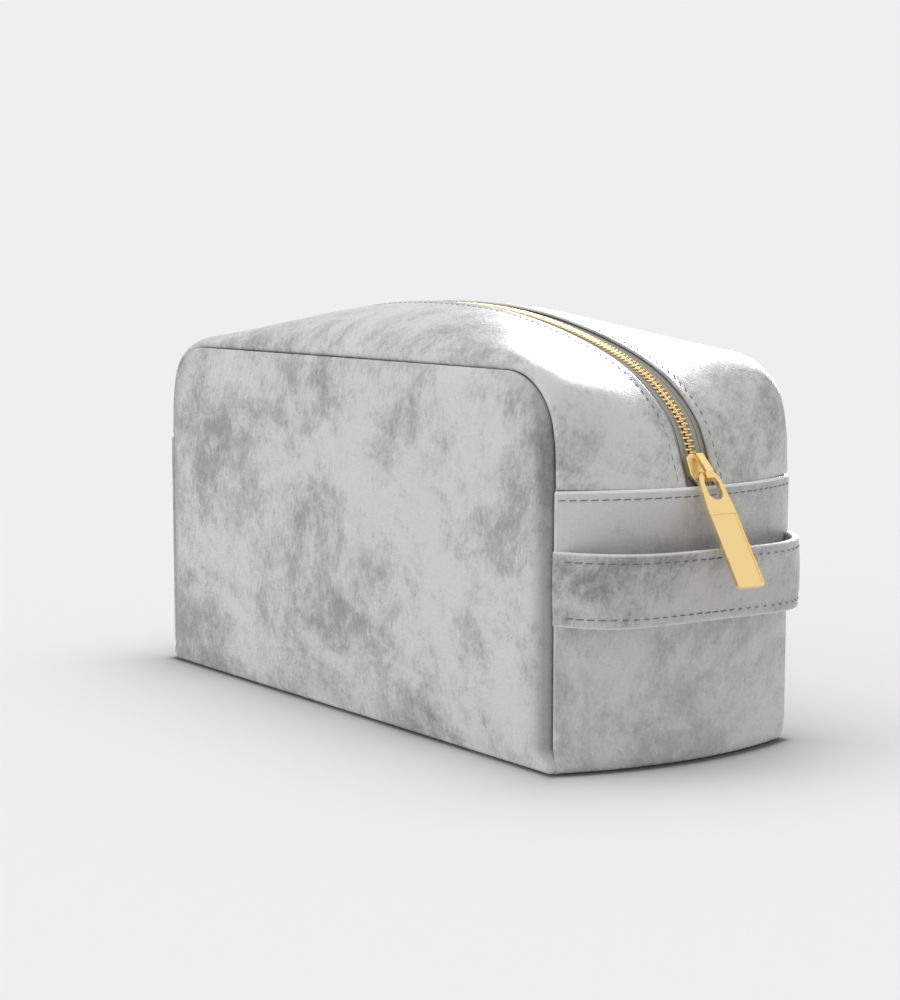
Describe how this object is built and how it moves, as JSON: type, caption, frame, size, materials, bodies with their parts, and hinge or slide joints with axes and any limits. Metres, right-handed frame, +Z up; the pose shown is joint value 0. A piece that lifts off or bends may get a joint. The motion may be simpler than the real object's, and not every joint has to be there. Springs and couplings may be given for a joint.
{
  "type": "soft zip-top vanity bag",
  "caption": "Soft rectangular leather vanity bag with a zip over its crown, a side handle strap and a long metal zip pull.",
  "frame": {"origin": "centre of the underside, on the surface the bag stands on", "axes": "+Z up, +X towards the end with the handle and the closed zip slider, -Y out of the front panel"},
  "size_m": [0.3161, 0.101, 0.1495],
  "materials": {
    "leather": "pale grey marbled leather, semi-gloss",
    "lining_fabric": "plain woven lining",
    "thread": "twisted sewing thread",
    "zip_tape": "taupe woven zip tape",
    "zip_metal": "polished pale gold",
    "slider_metal": "polished pale gold",
    "base_board": "plain stiffener board"
  },
  "bodies": {
    "root": {"front_panel_lower": "leather", "back_panel_lower": "leather", "right_end_panel": "leather", "left_end_panel": "leather", "base_panel": "leather", "base_board": "base_board", "lining_base": "lining_fabric", "lining_front_lower": "lining_fabric", "lining_back_lower": "lining_fabric", "lining_right_end": "lining_fabric", "lining_left_end": "lining_fabric", "handle_strap": "leather", "handle_stitches": "thread", "right_end_stitches": "thread", "left_end_stitches": "thread"},
    "front_jaw": {"front_panel_upper": "leather", "front_zip_gusset": "leather", "lining_front_upper": "lining_fabric", "lining_front_gusset": "lining_fabric", "front_zip_tape": "zip_tape", "front_zip_teeth": "zip_metal", "front_top_stop": "zip_metal", "front_end_stop": "zip_metal", "front_gusset_stitches": "thread"},
    "back_jaw": {"back_panel_upper": "leather", "back_zip_gusset": "leather", "lining_back_upper": "lining_fabric", "lining_back_gusset": "lining_fabric", "back_zip_tape": "zip_tape", "back_zip_teeth": "zip_metal", "back_top_stop": "zip_metal", "back_end_stop": "zip_metal", "back_gusset_stitches": "thread"},
    "slider": {"slider_body": "slider_metal", "slider_bail": "slider_metal"},
    "pull_tab": {"pull_tab": "slider_metal"}
  },
  "joints": [
    {"name": "front_mouth", "type": "hinge", "parent": "root", "child": "front_jaw", "pos_m": [0, -0.0505, 0.093], "axis": [1, 0, 0], "range_deg": [0, 26]},
    {"name": "back_mouth", "type": "hinge", "parent": "root", "child": "back_jaw", "pos_m": [0, 0.0505, 0.093], "axis": [-1, 0, 0], "range_deg": [0, 26]},
    {"name": "zip_travel", "type": "hinge", "parent": "root", "child": "slider", "pos_m": [0, 0, 0.03288], "axis": [0, -1, 0], "range_deg": [0, 130.8]},
    {"name": "pull_tab_swing", "type": "hinge", "parent": "slider", "child": "pull_tab", "pos_m": [0.14624, 0, 0.09621], "axis": [0, -1, 0], "range_deg": [-3, 165]}
  ],
  "couplings": [
    {"joint": "back_mouth", "follows": "front_mouth", "ratio": 1},
    {"joint": "zip_travel", "follows": "front_mouth", "ratio": 5.0306}
  ]
}
